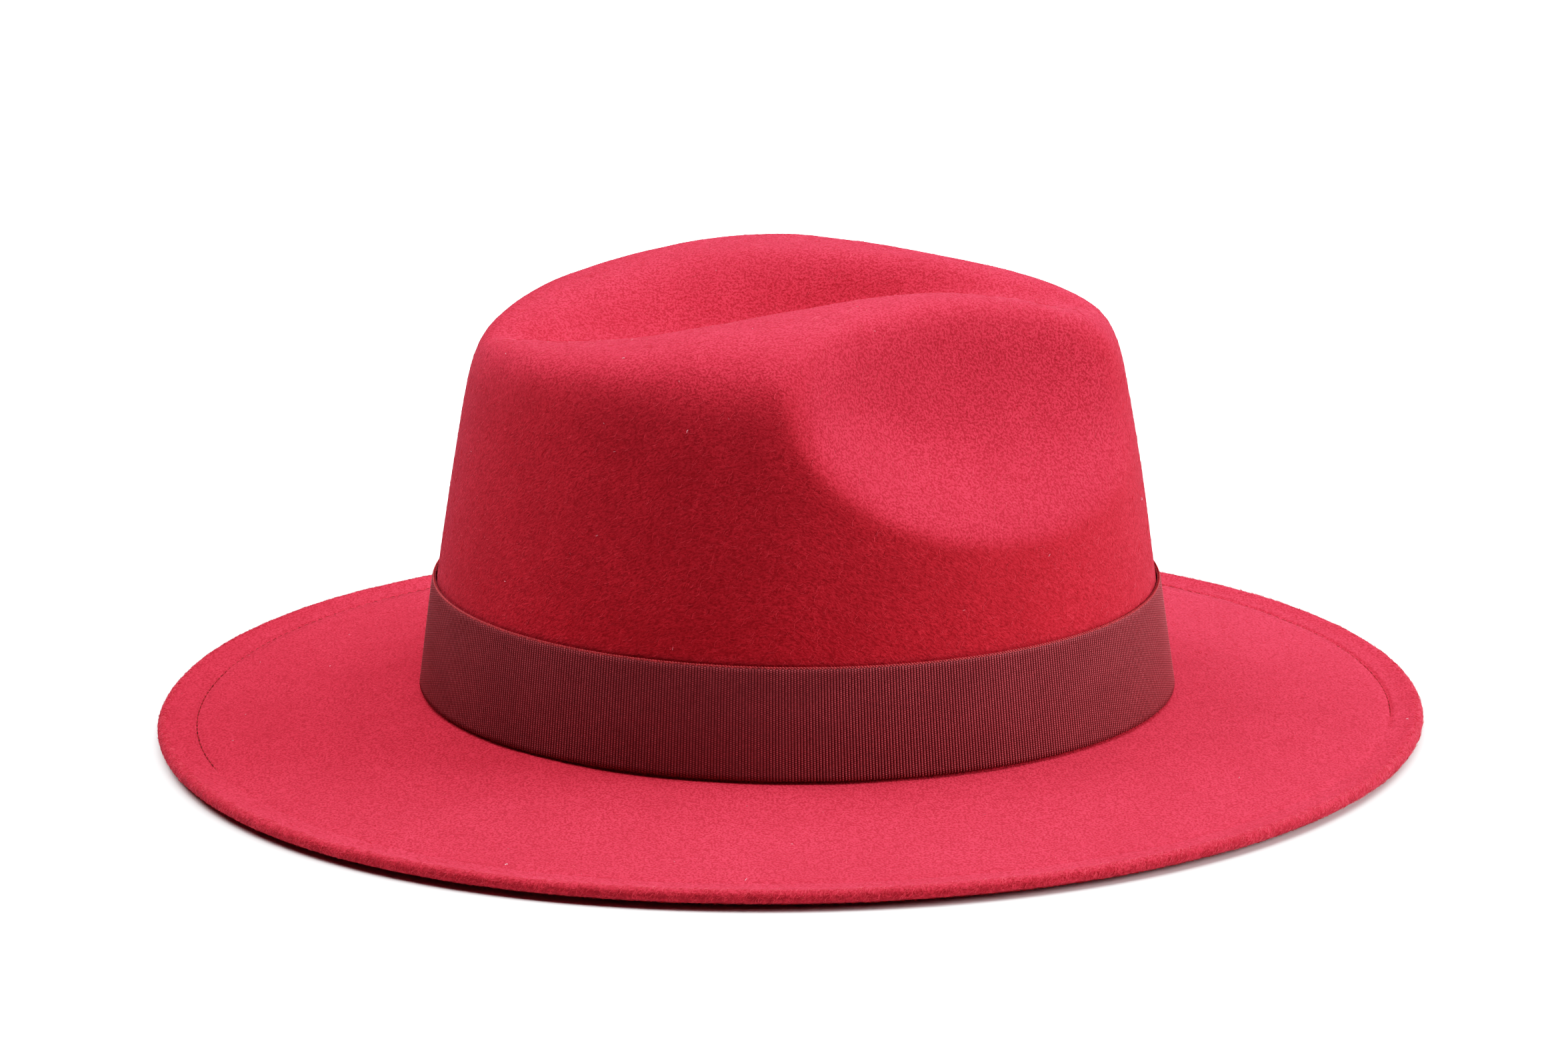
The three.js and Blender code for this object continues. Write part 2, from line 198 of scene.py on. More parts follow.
# Lights, in metres and watts: each one's place, width and power, all aimed at one point of the hat. They are
# turned by NEARLY_UP, which leans a little because the overhead light looks straight down.
LIGHT_AIM, NEARLY_UP = (0, 0, 0.06), (0, 0.01, 1)
LIGHTS = {
    "overhead": ((0, 0, 1.6), 1.4, 22.5),
    "back": ((0.2, 0.9, 1.3), 1.0, 14.8),
    "front high": ((0.2, -0.9, 1.3), 1.0, 12),
    "front low": ((-0.33, -1.55, 0.6), 0.8, 19.5),
}
ROOM_LIGHT = 0.01

# Contrast of the picture, bent at a few levels of light, on the curve that all channels share
CONTRAST, CONTRAST_EASE = 1.5, 0.6
CONTRAST_LEVELS = (0.01, 0.03, 0.07, 0.15, 0.3, 0.5, 0.75)
SHARED_CURVE = 3

# Camera, worked out from the outlines of the brim and the ribbon in a frame of 2352 by 1568
IMAGE_WIDTH, FOCAL_PIXELS = 2352, 12191
SENSOR_WIDTH, CLIP_NEAR, CLIP_FAR = 36.0, 0.05, 50.0
CAMERA_AZIMUTH, CAMERA_ELEVATION, CAMERA_ROLL = math.radians(-91), math.radians(17.2), math.radians(-0.5)
CAMERA_DISTANCE, AIM_SIDE, AIM_Z = 2200.0, -1.3, 57.6


# Shape of the hat


def mix(a, b, t):
    return a + (b - a) * t


def bezier(p, q, r, s, t):
    u = 1 - t
    return u ** 3 * p + 3 * u * u * t * q + 3 * u * t * t * r + t ** 3 * s


def curve(xs, ys, at):
    """Cubic through table rows; each slope comes from the parabola through three rows."""
    step = np.diff(xs)
    rise = np.diff(ys) / step
    slope = np.empty(len(ys))
    slope[0] = rise[0]
    slope[-1] = rise[-1]
    slope[1:-1] = (rise[:-1] * step[1:] + rise[1:] * step[:-1]) / (step[:-1] + step[1:])
    at = np.asarray(at, float)
    i = np.clip(np.searchsorted(xs, at, side="right") - 1, 0, len(xs) - 2)
    t = (at - xs[i]) / step[i]
    u = 1 - t
    near = (1 + 2 * t) * u * u * ys[i] + t * u * u * step[i] * slope[i]
    return near + t * t * (3 - 2 * t) * ys[i + 1] - t * t * u * step[i] * slope[i + 1]


def around(column, deg, mirror=1.0):
    """A column of SECTIONS read all the way round, mirrored about the front and the back."""
    degs = SECTIONS[:, 0]
    values = SECTIONS[:, SECTION_COLUMNS.index(column)]
    loop_deg = np.concatenate([degs, 360 - degs[-2:0:-1]])
    loop = np.concatenate([values, mirror * values[-2:0:-1]])
    laps = np.concatenate([loop_deg - 360, loop_deg, loop_deg + 360])
    return curve(laps, np.tile(loop, 3), np.mod(deg, 360))


def wall_size(column, z):
    return curve(WALL[:, 0], WALL[:, WALL_COLUMNS.index(column)], z)


def wall_point(deg, z, out=0.0):
    """A point on the outside of the wall, or so far out from it."""
    turn = np.radians(deg)
    half_length = wall_size("half_length", z)
    half_width = wall_size("half_width", z)
    normal_x = np.sin(turn) / half_width
    normal_y = -np.cos(turn) / half_length
    size = np.hypot(normal_x, normal_y)
    x = half_width * np.sin(turn) + out * normal_x / size
    y = wall_size("middle", z) - half_length * np.cos(turn) + out * normal_y / size
    return np.stack(np.broadcast_arrays(x, y, z), -1)


def from_front(deg):
    return np.abs(np.mod(np.asarray(deg) + 180, 360) - 180)


def ribbon_foot(deg):
    return RIBBON_FOOT - RIBBON_TILT * np.cos(np.radians(deg))


def brim_root(deg):
    return ribbon_foot(deg) - BREAK_DROP


def crown_foot(deg):
    return brim_root(deg) + BREAK_RADIUS


def dent_depth(deg, below, low_length):
    """How far the pinch pushes the wall in: fully at its deepest spot, less towards the edge of its oval."""
    turn = from_front(deg) - DENT_DEG
    across = turn / np.where(turn > 0, DENT_BACK_SPAN, DENT_FRONT_SPAN) - DENT_DEEP_ACROSS
    down = 2 * below / low_length - 1 - DENT_DEEP_DOWN
    lean = DENT_DEEP_ACROSS * across + DENT_DEEP_DOWN * down
    room = 1 - DENT_DEEP_ACROSS ** 2 - DENT_DEEP_DOWN ** 2
    to_edge = (np.sqrt(lean ** 2 + (across ** 2 + down ** 2) * room) + lean) / room
    return DENT_DEPTH * np.clip(1 - to_edge ** 2, 0, None) ** DENT_POWER


def crown_rows(deg):
    """Rings of the crown from the crease over the ridge to the foot, and how far in each point is pressed."""
    turn = np.radians(deg)
    shoulder_z = around("shoulder_z", deg)
    full = around("fullness", deg)[:, None]
    shoulder = wall_point(deg, shoulder_z)
    upward = (shoulder - wall_point(deg, shoulder_z - SLOPE_STEP)) / SLOPE_STEP
    forward = (1 - np.cos(turn)) / 2
    ridge_y = mix(RIDGE_FRONT, RIDGE_BACK, forward)
    ridge = np.stack([around("ridge_half", deg, -1), ridge_y, around("ridge_z", deg)], -1)
    floor_y = mix(CREASE_FRONT, CREASE_BACK, mix(forward, from_front(deg) / 180, CREASE_SPREAD))
    floor = np.stack([0 * turn, floor_y, around("crease_z", deg)], -1)
    out = (ridge - floor) * [1, 1, 0]
    drop = np.linalg.norm(out, axis=1, keepdims=True)
    out = out / drop
    reach = np.linalg.norm((shoulder - ridge)[:, :2], axis=1, keepdims=True)
    wall_handle = shoulder + upward * (ridge[:, 2:] - shoulder_z[:, None]) * full
    ridge_handle = ridge + out * reach * full

    foot = crown_foot(deg)
    steps = np.arange(SIDE_STEPS + 1) / SIDE_STEPS
    fine = [wall_point(deg, mix(foot, shoulder_z, step)) for step in steps]
    fine += [bezier(shoulder, wall_handle, ridge_handle, ridge, step) for step in steps[1:]]
    fine = np.array(fine)
    lengths = np.linalg.norm(np.diff(fine, axis=0), axis=2)
    run = np.concatenate([np.zeros((1, len(deg))), np.cumsum(lengths, axis=0)])
    whole = run[-1]
    low = np.argmax(fine[:, :, 2] >= DENT_LOW_Z, axis=0)
    low_length = whole - run[low, np.arange(len(deg))]

    shares = np.arange(SIDE_ROWS) / SIDE_ROWS
    sides = np.empty((SIDE_ROWS, len(deg), 3))
    for column in range(len(deg)):
        for axis in range(3):
            sides[:, column, axis] = np.interp(shares * whole[column], run[:, column], fine[:, column, axis])
    depth = dent_depth(deg, whole * (1 - shares[:, None]), low_length)
    sides[:, :, 0] -= np.sign(np.sin(turn)) * depth * math.sin(DENT_TURN)
    sides[:, :, 1] += depth * math.cos(DENT_TURN)

    lip = ridge - out * drop * CREASE_ROUND
    bed = floor + out * drop * CREASE_ROUND
    crease = [bezier(ridge, lip, bed, floor, k / CREASE_ROWS) for k in range(CREASE_ROWS + 1)]
    rows = np.concatenate([sides, np.array(crease)])
    rows[:, :, 1] += CROWN_Y
    pressed = np.concatenate([depth, np.zeros((len(crease), len(deg)))])
    return rows[::-1], pressed[::-1]


def grid_normals(rows):
    """Area-weighted normals of a grid of rings; the first ring is a floor line shared by both halves."""
    normals = np.zeros_like(rows)
    right = np.roll(rows, -1, axis=1)
    face = np.cross(right[1:] - rows[:-1], right[:-1] - rows[1:])
    for row_shift in (0, 1):
        for column_shift in (0, 1):
            normals[row_shift:len(rows) - 1 + row_shift] += np.roll(face, column_shift, axis=1)
    mirrored = np.roll(normals[0][::-1], 1, axis=0)
    normals[0] += mirrored
    return normals / np.linalg.norm(normals, axis=2, keepdims=True)


def rim_profile(table, count):
    """Points spread evenly by length on a rounded line through a table of the rim."""
    turns = np.arange(len(table), dtype=float)
    fine = np.linspace(0, len(table) - 1, RIM_STEPS)
    line = np.stack([np.interp(fine, turns, table[:, k]) for k in (0, 1)], -1)
    margin = RIM_SOFTNESS // 2
    padded = np.pad(line, ((margin, margin), (0, 0)), mode="edge")
    kernel = np.ones(RIM_SOFTNESS) / RIM_SOFTNESS
    soft = np.stack([np.convolve(padded[:, k], kernel, mode="valid") for k in (0, 1)], -1)
    run = np.concatenate([[0], np.cumsum(np.linalg.norm(np.diff(soft, axis=0), axis=1))])
    at = np.linspace(0, run[-1], count)
    return np.stack([np.interp(at, run, soft[:, k]) for k in (0, 1)], -1)


def seam_showing(deg):
    """1 where the stitched groove shows, and nearly 0 where the nap has closed over it."""
    middle = (SEAM_HIDDEN_FROM + SEAM_HIDDEN_TO) / 2
    half = (SEAM_HIDDEN_TO - SEAM_HIDDEN_FROM) / 2
    away = from_front(deg - middle)
    return np.clip((away - half) / SEAM_FADE + 0.5, SEAM_FAINT, 1)


def seam_shift(deg):
    """The share of its inset at which the seam lies: most of it at the back, less elsewhere."""
    return mix(SEAM_NEAR, SEAM_BACK, np.clip(-np.cos(np.radians(deg)), 0, 1) ** 2)


def brim_spokes(deg):
    """The brim's edge and the crown's foot, both at floor level, and the direction from foot to edge."""
    sine, cosine = np.sin(np.radians(deg)), np.cos(np.radians(deg))
    full = 1 + np.where(cosine > 0, BRIM_FULL_FRONT, BRIM_FULL_BACK) * cosine ** 2
    edge = np.stack([BRIM_HALF_WIDTH * sine * full, -BRIM_HALF_LENGTH * cosine, 0 * sine], -1)
    foot = wall_point(deg, crown_foot(deg))
    foot[:, 1] += CROWN_Y
    foot[:, 2] = 0
    out = edge - foot
    return edge, foot, out / np.linalg.norm(out, axis=1, keepdims=True)


def brim_rows(deg):
    """Rings from the break between crown and brim out to the rim, then back along the underside."""
    edge, foot, out = brim_spokes(deg)

    def ring(base, reach, z):
        points = base + out * np.reshape(reach, (-1, 1))
        points[:, 2] = z
        return points

    def break_ring(turn, depth):
        radius = BREAK_RADIUS + depth
        reach = BREAK_RADIUS - radius * math.cos(turn)
        return ring(foot, np.full(len(deg), reach), crown_foot(deg) - radius * math.sin(turn))

    def brim_ring(share, depth):
        root = foot + out * BREAK_RADIUS
        end = edge - out * (RIM_TOP[0, 0] * seam_shift(deg))[:, None]
        fall = share * (1 + BRIM_EASE * (1 - share))
        z = mix(brim_root(deg), RIM_TOP[0, 1], fall) - depth
        return ring(mix(root, end, share), np.zeros(len(deg)), z)

    def rim_top_ring(inset, z):
        groove = np.clip(1 - np.abs(inset - SEAM_INSET) / GROOVE_HALF, 0, 1)
        lift = groove * (1 - seam_showing(deg)) * GROOVE_FILL
        return ring(edge, -inset * seam_shift(deg), z + lift)

    def rim_under_ring(inset, z):
        return ring(edge, np.full(len(deg), -inset), z)

    quarter = math.pi / 2
    top = [break_ring(quarter * k / BREAK_ROWS, 0) for k in range(1, BREAK_ROWS + 1)]
    top += [brim_ring(k / BRIM_ROWS, 0) for k in range(1, BRIM_ROWS)]
    rim = [rim_top_ring(*point) for point in rim_profile(RIM_TOP, RIM_TOP_ROWS)]
    rim += [rim_under_ring(*point) for point in rim_profile(RIM_UNDER, RIM_UNDER_ROWS)[1:]]
    under = [brim_ring(k / UNDER_BRIM_ROWS, FELT) for k in range(UNDER_BRIM_ROWS - 1, 0, -1)]
    under += [break_ring(quarter * k / BREAK_ROWS, FELT) for k in range(BREAK_ROWS, 0, -1)]
    return np.array(top), np.array(rim), np.array(under)


def unevenness(rows):
    """Slight hand-made waves of the felt, about a tenth of a millimetre high, none where it rests."""
    random = np.random.default_rng(SEED)
    waves = np.zeros(rows.shape[:2])
    for size, length in WAVES:
        for _ in range(WAVES_IN_SET):
            direction = random.normal(size=3)
            direction *= 2 * math.pi / length / np.linalg.norm(direction)
            waves += size * np.sin(rows @ direction + random.uniform(0, 2 * math.pi))
    lifted = np.clip(rows[:, :, 2] / WAVES_FULL_Z, 0, 1)
    return np.stack([0 * waves, 0 * waves, waves * lifted], -1)


# Meshes


def link(name, data):
    """A new object of the scene that holds this data."""
    made = bpy.data.objects.new(name, data)
    bpy.context.scene.collection.objects.link(made)
    return made


def mesh_object(name, points, faces, material):
    """A smooth mesh object at the origin from points in mm."""
    mesh = bpy.data.meshes.new(name)
    mesh.from_pydata((np.asarray(points) * MM).tolist(), [], faces.tolist())
    mesh.update()
    mesh.polygons.foreach_set("use_smooth", np.ones(len(mesh.polygons), bool))
    mesh.materials.append(material)
    return link(name, mesh)


def loop_object(name, points, material):
    """A closed line through points in mm, as a mesh of edges."""
    count = len(points)
    mesh = bpy.data.meshes.new(name)
    edges = [(k, (k + 1) % count) for k in range(count)]
    mesh.from_pydata((points * MM).tolist(), edges, [])
    mesh.materials.append(material)
    return link(name, mesh)


def ring_faces(rows, columns, pinched=(), closed=False):
    """Quads between rings of points. A pinched ring's two halves share one line of points."""
    column = np.arange(columns)
    spot = np.arange(rows)[:, None] * columns + column
    for row in pinched:
        spot[row] = row % rows * columns + np.minimum(column, columns - column)
    following = np.roll(spot, -1, axis=0) if closed else spot[1:]
    first = spot if closed else spot[:-1]
    quads = [first, following, np.roll(following, -1, axis=1), np.roll(first, -1, axis=1)]
    return np.stack(quads, -1).reshape(-1, 4)


def build_felt(material):
    """Crown, brim and rim as one hollow wall, with how its wool runs and lies stored on its points; where it
    lies also places painted sheen and painted shade in its colour.
    """
    deg = np.arange(COLUMNS) * 360 / COLUMNS
    crown, pressed = crown_rows(deg)
    normals = grid_normals(crown)
    top, rim, under = brim_rows(deg)
    inside = (crown - FELT * normals)[::-1]
    outer = np.concatenate([crown, top, rim])
    rows = np.concatenate([outer, under, inside])
    run = np.cumsum(np.linalg.norm(np.diff(rows, axis=0, prepend=rows[:1]), axis=2), axis=0)
    turn = np.radians(deg)[None, :] + 0 * run
    grain = np.stack([GRAIN_RADIUS * np.sin(turn), -GRAIN_RADIUS * np.cos(turn), run], -1)
    rows = rows + unevenness(rows)
    faces = ring_faces(len(rows), COLUMNS, pinched=(0, len(rows) - 1))
    keep = np.unique(faces)
    order = np.zeros(rows.size // 3, np.int64)
    order[keep] = np.arange(len(keep))
    felt = mesh_object("felt_hat", rows.reshape(-1, 3)[keep], order[faces], material)

    lay_and_shade = np.zeros_like(rows)
    # Where the wool is combed, which is also where the wall's colour carries painted shade
    upright = np.clip(COMBED_FULL - COMBED_FADE * np.abs(normals[:, :, 2]), 0, 1)
    lay_and_shade[:len(crown), :, 0] = upright * np.clip(1 - pressed / PRESSED, 0, 1)
    edge = brim_spokes(deg)[0]
    inset = np.linalg.norm((rim - edge)[:, :, :2], axis=2)
    turned = np.clip((RIM_TOP[:, 1].max() - rim[:, :, 2]) / TURNED_DROP, 0, 1)
    lay_and_shade[len(crown) + len(top):len(outer), :, 1] = turned * np.clip(PUFF_FULL - inset / PUFFY, 0, 1)
    for name, values in (("grain", grain), ("lay_and_shade", lay_and_shade)):
        attribute = felt.data.attributes.new(name, "FLOAT_VECTOR", "POINT")
        attribute.data.foreach_set("vector", values.reshape(-1, 3)[keep].astype(np.float32).ravel())
    counts = {"crown": len(crown), "top": len(top), "rim": len(rim)}
    return felt, rows, counts


def lapped(deg):
    """1 where the ribbon's end laps over, 0 elsewhere."""
    return np.clip(np.minimum(deg - LAP_FROM, LAP_TO - deg) / LAP_EDGE + 1, 0, 1)


def build_ribbon(material):
    """The ribbon as a ring of upright ribs, doubled where its end laps over."""
    sample_deg = np.linspace(0, 360, RIBBON_SAMPLES)
    half_up = np.full(RIBBON_SAMPLES, RIBBON_FOOT + RIBBON_HEIGHT / 2)
    steps = np.linalg.norm(np.diff(wall_point(sample_deg, half_up, RIBBON_GAP), axis=0), axis=1)
    length = steps.sum()
    ribs = 2 * round(length / RIB_PITCH / 2)
    columns = ribs * RIB_FACETS
    rib_at = np.arange(columns) / RIB_FACETS
    run = np.concatenate([[0], np.cumsum(steps)])
    deg = np.interp(np.arange(columns) / columns * length, run, sample_deg)
    across = 2 * np.mod(rib_at, 1) - 1
    round_rib = np.sqrt(np.clip(1 - across ** 2, 0, 1))
    inner = np.full(columns, RIBBON_GAP)
    outer = RIBBON_GAP + RIBBON_THICK * (1 + lapped(deg)) - RIB_DEPTH * (1 - round_rib)
    edge = mix(inner, outer, EDGE_OUT)
    scallop = RIB_SCALLOP * round_rib / RIBBON_HEIGHT
    level = np.zeros(columns)
    profile = [(level + HEM, inner), (HEM - scallop, edge), (HEM_SHOULDER - scallop, outer)]
    profile += [(level + share, outer) for share in np.linspace(BODY_FROM, BODY_TO, BODY_RINGS)]
    profile += [(level + TOP_SHOULDER, outer), (level + 1, edge), (level + 1, inner)]
    rows = []
    heights = []
    for share, out in reversed(profile):
        points = wall_point(deg, ribbon_foot(deg) + RIBBON_HEIGHT * share, out)
        points[:, 1] += CROWN_Y
        rows.append(points)
        heights.append(RIBBON_HEIGHT * share)
    faces = ring_faces(len(rows), columns, closed=True)
    ribbon = mesh_object("ribbon", np.reshape(rows, (-1, 3)), faces, material)
    weave = np.stack([np.tile(rib_at, (len(rows), 1)), np.array(heights) / BEAD_PITCH], -1)
    corner = weave.reshape(-1, 2)[faces.ravel()].reshape(-1, 4, 2)
    wraps = corner[:, :, 0].max(axis=1) - corner[:, :, 0].min(axis=1) > ribs / 2
    corner[:, :, 0] += (wraps[:, None] & (corner[:, :, 0] < ribs / 2)) * ribs
    layer = ribbon.data.uv_layers.new(name="weave")
    layer.data.foreach_set("uv", corner.astype(np.float32).ravel())
    return ribbon, ribs, length


# Node helpers


def add(tree, kind, inputs=None, **settings):
    """A node with its settings, and its inputs set to values or linked to sockets."""
    made = tree.nodes.new(kind)
    for name, value in settings.items():
        setattr(made, name, value)
    for key, value in (inputs or {}).items():
        if isinstance(value, bpy.types.NodeSocket):
            tree.links.new(value, made.inputs[key])
        else:
            made.inputs[key].default_value = value
    return made


def math_node(tree, operation, a, b=0.0, c=0.0):
    return add(tree, "ShaderNodeMath", {0: a, 1: b, 2: c}, operation=operation).outputs[0]


def times(tree, a, b):
    return math_node(tree, "MULTIPLY", a, b)


def times_plus(tree, a, b, c):
    return math_node(tree, "MULTIPLY_ADD", a, b, c)


def minus(tree, a, b):
    return math_node(tree, "SUBTRACT", a, b)


def combine(tree, x=0.0, y=0.0, z=0.0):
    return add(tree, "ShaderNodeCombineXYZ", {0: x, 1: y, 2: z}).outputs[0]


def separate(tree, vector):
    return add(tree, "ShaderNodeSeparateXYZ", {0: vector}).outputs


def vector_math(tree, operation, a, b=(0, 0, 0)):
    return add(tree, "ShaderNodeVectorMath", {0: a, 1: b}, operation=operation).outputs


def color_mix(tree, factor, a, b, blend="MIX"):
    """A mix of two colours, which this node takes in its inputs 6 and 7."""
    inputs = {0: factor, 6: a, 7: b}
    return add(tree, "ShaderNodeMix", inputs, data_type="RGBA", blend_type=blend).outputs[2]


def ramp(tree, value, low, high):
    """0 below low, 1 above high, smooth between."""
    inputs = {"Value": value, "From Min": low, "From Max": high}
    return add(tree, "ShaderNodeMapRange", inputs, interpolation_type="SMOOTHSTEP").outputs[0]


def noise(tree, vector, scale, detail=2.0, distortion=0.0):
    inputs = {"Vector": vector, "Scale": scale, "Detail": detail, "Distortion": distortion}
    return add(tree, "ShaderNodeTexNoise", inputs).outputs["Fac"]


def stored(tree, name):
    """What an attribute of the mesh holds."""
    return add(tree, "ShaderNodeAttribute", attribute_name=name).outputs


def object_place(tree):
    return add(tree, "ShaderNodeTexCoord").outputs["Object"]


def place_in_mm(tree):
    scale = (1 / MM, 1 / MM, 1 / MM)
    return add(tree, "ShaderNodeMapping", {"Vector": object_place(tree), "Scale": scale}).outputs[0]


def new_group(name, kind, inputs, outputs):
    """A node group with named sockets, given as (name, socket type, default)."""
    tree = bpy.data.node_groups.new(name, kind)
    for label, socket, default in inputs:
        made = tree.interface.new_socket(name=label, in_out="INPUT", socket_type=socket)
        if default is not None:
            made.default_value = default
    for label, socket in outputs:
        tree.interface.new_socket(name=label, in_out="OUTPUT", socket_type=socket)
    return tree, add(tree, "NodeGroupInput").outputs, add(tree, "NodeGroupOutput").inputs


def new_material(name, finish):
    """A material with one shader, and the values of the finish that are the same all over it."""
    material = bpy.data.materials.new(name)
    material.use_nodes = True
    tree = material.node_tree
    tree.nodes.clear()
    shader = add(tree, "ShaderNodeBsdfPrincipled", finish)
    add(tree, "ShaderNodeOutputMaterial", {"Surface": shader.outputs[0]})
    return material, tree, shader.inputs


def set_relief(tree, sockets, height, strength, depth):
    """Bumps of a given depth in mm."""
    bump = add(tree, "ShaderNodeBump", {"Strength": strength, "Distance": depth * MM, "Height": height})
    tree.links.new(bump.outputs[0], sockets["Normal"])


# Finishes


def matted_fibres_group():
    """Matted wool: combed grain, dust, thin curly fibres that come and go, tufts, and wide faint clouds."""
    inputs = [(name, "NodeSocketVector", None) for name in ("Place", "Grain")]
    outputs = [(name, "NodeSocketFloat") for name in ("Speckle", "Dust", "Fibre", "Tuft", "Cloud")]
    tree, given, gives = new_group("matted fibres", "ShaderNodeTree", inputs, outputs)
    place = given["Place"]
    along = add(tree, "ShaderNodeMapping", {"Vector": given["Grain"], "Scale": GRAIN_STRETCH}).outputs[0]

    def strands(scale, thin, start):
        """Thin lines where a noise passes its middle, broken up by a second noise."""
        moved = vector_math(tree, "ADD", along, (start, start, start))[0]
        value = noise(tree, moved, scale, detail=1.5, distortion=0.8)
        off = math_node(tree, "ABSOLUTE", minus(tree, value, 0.5))
        line = minus(tree, 1.0, ramp(tree, off, low=0.0, high=thin))
        shown = ramp(tree, noise(tree, moved, scale=0.8), low=0.47, high=0.62)
        return times(tree, line, shown)

    coarse = strands(scale=0.7, thin=0.05, start=0.0)
    fine = strands(scale=1.2, thin=0.07, start=31.0)
    tree.links.new(noise(tree, along, scale=2.0, detail=2.5), gives["Speckle"])
    tree.links.new(noise(tree, place, scale=1.6, detail=3.0), gives["Dust"])
    tree.links.new(math_node(tree, "MAXIMUM", coarse, fine), gives["Fibre"])
    tree.links.new(noise(tree, place, scale=0.42, detail=3.0, distortion=0.6), gives["Tuft"])
    tree.links.new(noise(tree, place, scale=0.07, detail=3.0), gives["Cloud"])
    return tree


def felt_material(fibres):
    """Felt that is combed on the wall, fine-grained on top and on the brim, and puffy at the rim. Its colour
    carries painted sheen where it faces up, painted shade on the upright wall and in the hollows of the rim's
    tufts, and a partly painted highlight on its lighter fibres.
    """
    finish = {
        "Roughness": 0.92,
        "Specular IOR Level": 0.04,
        "Sheen Weight": 0.09,
        "Sheen Roughness": 0.5,
        "Sheen Tint": FELT_SHEEN,
    }
    material, tree, sockets = new_material("red felt", finish)
    lay_and_shade = separate(tree, stored(tree, "lay_and_shade")["Vector"])
    combed, puff = lay_and_shade["X"], lay_and_shade["Y"]
    places = {"Place": place_in_mm(tree), "Grain": stored(tree, "grain")["Vector"]}
    wool = add(tree, "ShaderNodeGroup", places, node_tree=fibres).outputs
    dust = times_plus(tree, wool["Dust"], DUST_GAIN, 0.5 - 0.5 * DUST_GAIN)
    rough = times_plus(tree, minus(tree, wool["Speckle"], dust), combed, dust)
    ground = color_mix(tree, ramp(tree, rough, low=0.33, high=0.64), FELT_DEEP, FELT_RED)
    fibre = times(tree, wool["Fibre"], times_plus(tree, combed, FIBRE_COMBED, FIBRE_FLAT))
    # Lighter fibres: drawn strands of wool, partly a painted highlight where raised fibres catch the light
    lit = color_mix(tree, fibre, ground, FELT_FIBRE_AND_HIGHLIGHT)
    # Painted shade: on the rim's turned-down side, the hollows between tufts are darkened towards the deep
    # red
    hollow = times(tree, puff, ramp(tree, wool["Tuft"], low=0.58, high=0.40))
    tint = times_plus(tree, ramp(tree, wool["Cloud"], low=0.35, high=0.65), CLOUD_TINT, hollow)
    plain = color_mix(tree, tint, lit, FELT_DEEP)
    # Painted sheen and painted shade: felt that faces up is tinted pinker, the upright wall outside the pinch
    # a deeper red
    painted_sheen_and_shade = color_mix(tree, combed, FELT_TOP_SHEEN_TINT, FELT_WALL_SHADE_TINT)
    tree.links.new(color_mix(tree, 1.0, plain, painted_sheen_and_shade, "MULTIPLY"), sockets["Base Color"])
    tufts = times(tree, times(tree, wool["Tuft"], puff), TUFT_RELIEF)
    height = math_node(tree, "ADD", rough, times_plus(tree, fibre, FIBRE_RELIEF, tufts))
    set_relief(tree, sockets, height, strength=0.5, depth=0.3)
    return material


def wool_material(name, dark, pale):
    """Loose fibres: each its own tone."""
    finish = {"Roughness": 0.8, "Specular IOR Level": 0.2, "Sheen Weight": 0.2}
    material, tree, sockets = new_material(name, finish)
    tone = stored(tree, "tone")["Fac"]
    tree.links.new(color_mix(tree, tone, dark, pale), sockets["Base Color"])
    return material


def ribbon_material():
    """Grosgrain: beads along upright ribs, set half a step over from rib to rib, with painted shade darkening
    the grooves between the beads.
    """
    finish = {
        "Roughness": 0.55,
        "Specular IOR Level": 0.14,
        "Sheen Weight": 0.12,
        "Sheen Roughness": 0.4,
        "Sheen Tint": RIBBON_SHEEN,
    }
    material, tree, sockets = new_material("dark red grosgrain", finish)
    weave = add(tree, "ShaderNodeUVMap", uv_map="weave").outputs[0]
    parts = separate(tree, weave)
    rib = math_node(tree, "FLOOR", parts["X"])
    across = math_node(tree, "PINGPONG", parts["X"], 0.5)
    shift = times(tree, math_node(tree, "MODULO", rib, 2.0), 0.5)
    bead = math_node(tree, "PINGPONG", math_node(tree, "ADD", parts["Y"], shift), 0.5)
    top = times(tree, ramp(tree, bead, low=0.04, high=0.34), ramp(tree, across, low=0.02, high=0.4))
    seed = combine(tree, rib, math_node(tree, "FLOOR", parts["Y"]))
    chance = add(tree, "ShaderNodeTexWhiteNoise", {"Vector": seed}, noise_dimensions="2D").outputs["Value"]
    patches = noise(tree, weave, scale=0.05, detail=6.0)
    thread = color_mix(tree, times_plus(tree, chance, BEAD_CHANCE, patches), RIBBON_DARK, RIBBON_RED)
    # Painted shade: the grooves between the bead tops take a near-black red
    tree.links.new(color_mix(tree, top, RIBBON_GROOVE_SHADE, thread), sockets["Base Color"])
    set_relief(tree, sockets, top, strength=0.8, depth=0.16)
    return material


def thread_material(name, dark, pale, roughness):
    """Sewing thread: a finely uneven surface, and a tone that wanders from stitch to stitch."""
    material, tree, sockets = new_material(name, {"Roughness": roughness, "Specular IOR Level": 0.3})
    place = place_in_mm(tree)
    tone = ramp(tree, noise(tree, place, scale=1.3, detail=3.0), low=0.3, high=0.7)
    tree.links.new(color_mix(tree, tone, dark, pale), sockets["Base Color"])
    set_relief(tree, sockets, noise(tree, place, scale=5.0), strength=0.5, depth=0.1)
    return material


# Repeated threads and fibres


def geometry_group(name, inputs):
    sockets = [("Geometry", "NodeSocketGeometry", None)] + inputs + [("Material", "NodeSocketMaterial", None)]
    return new_group(name, "GeometryNodeTree", sockets, [("Geometry", "NodeSocketGeometry")])


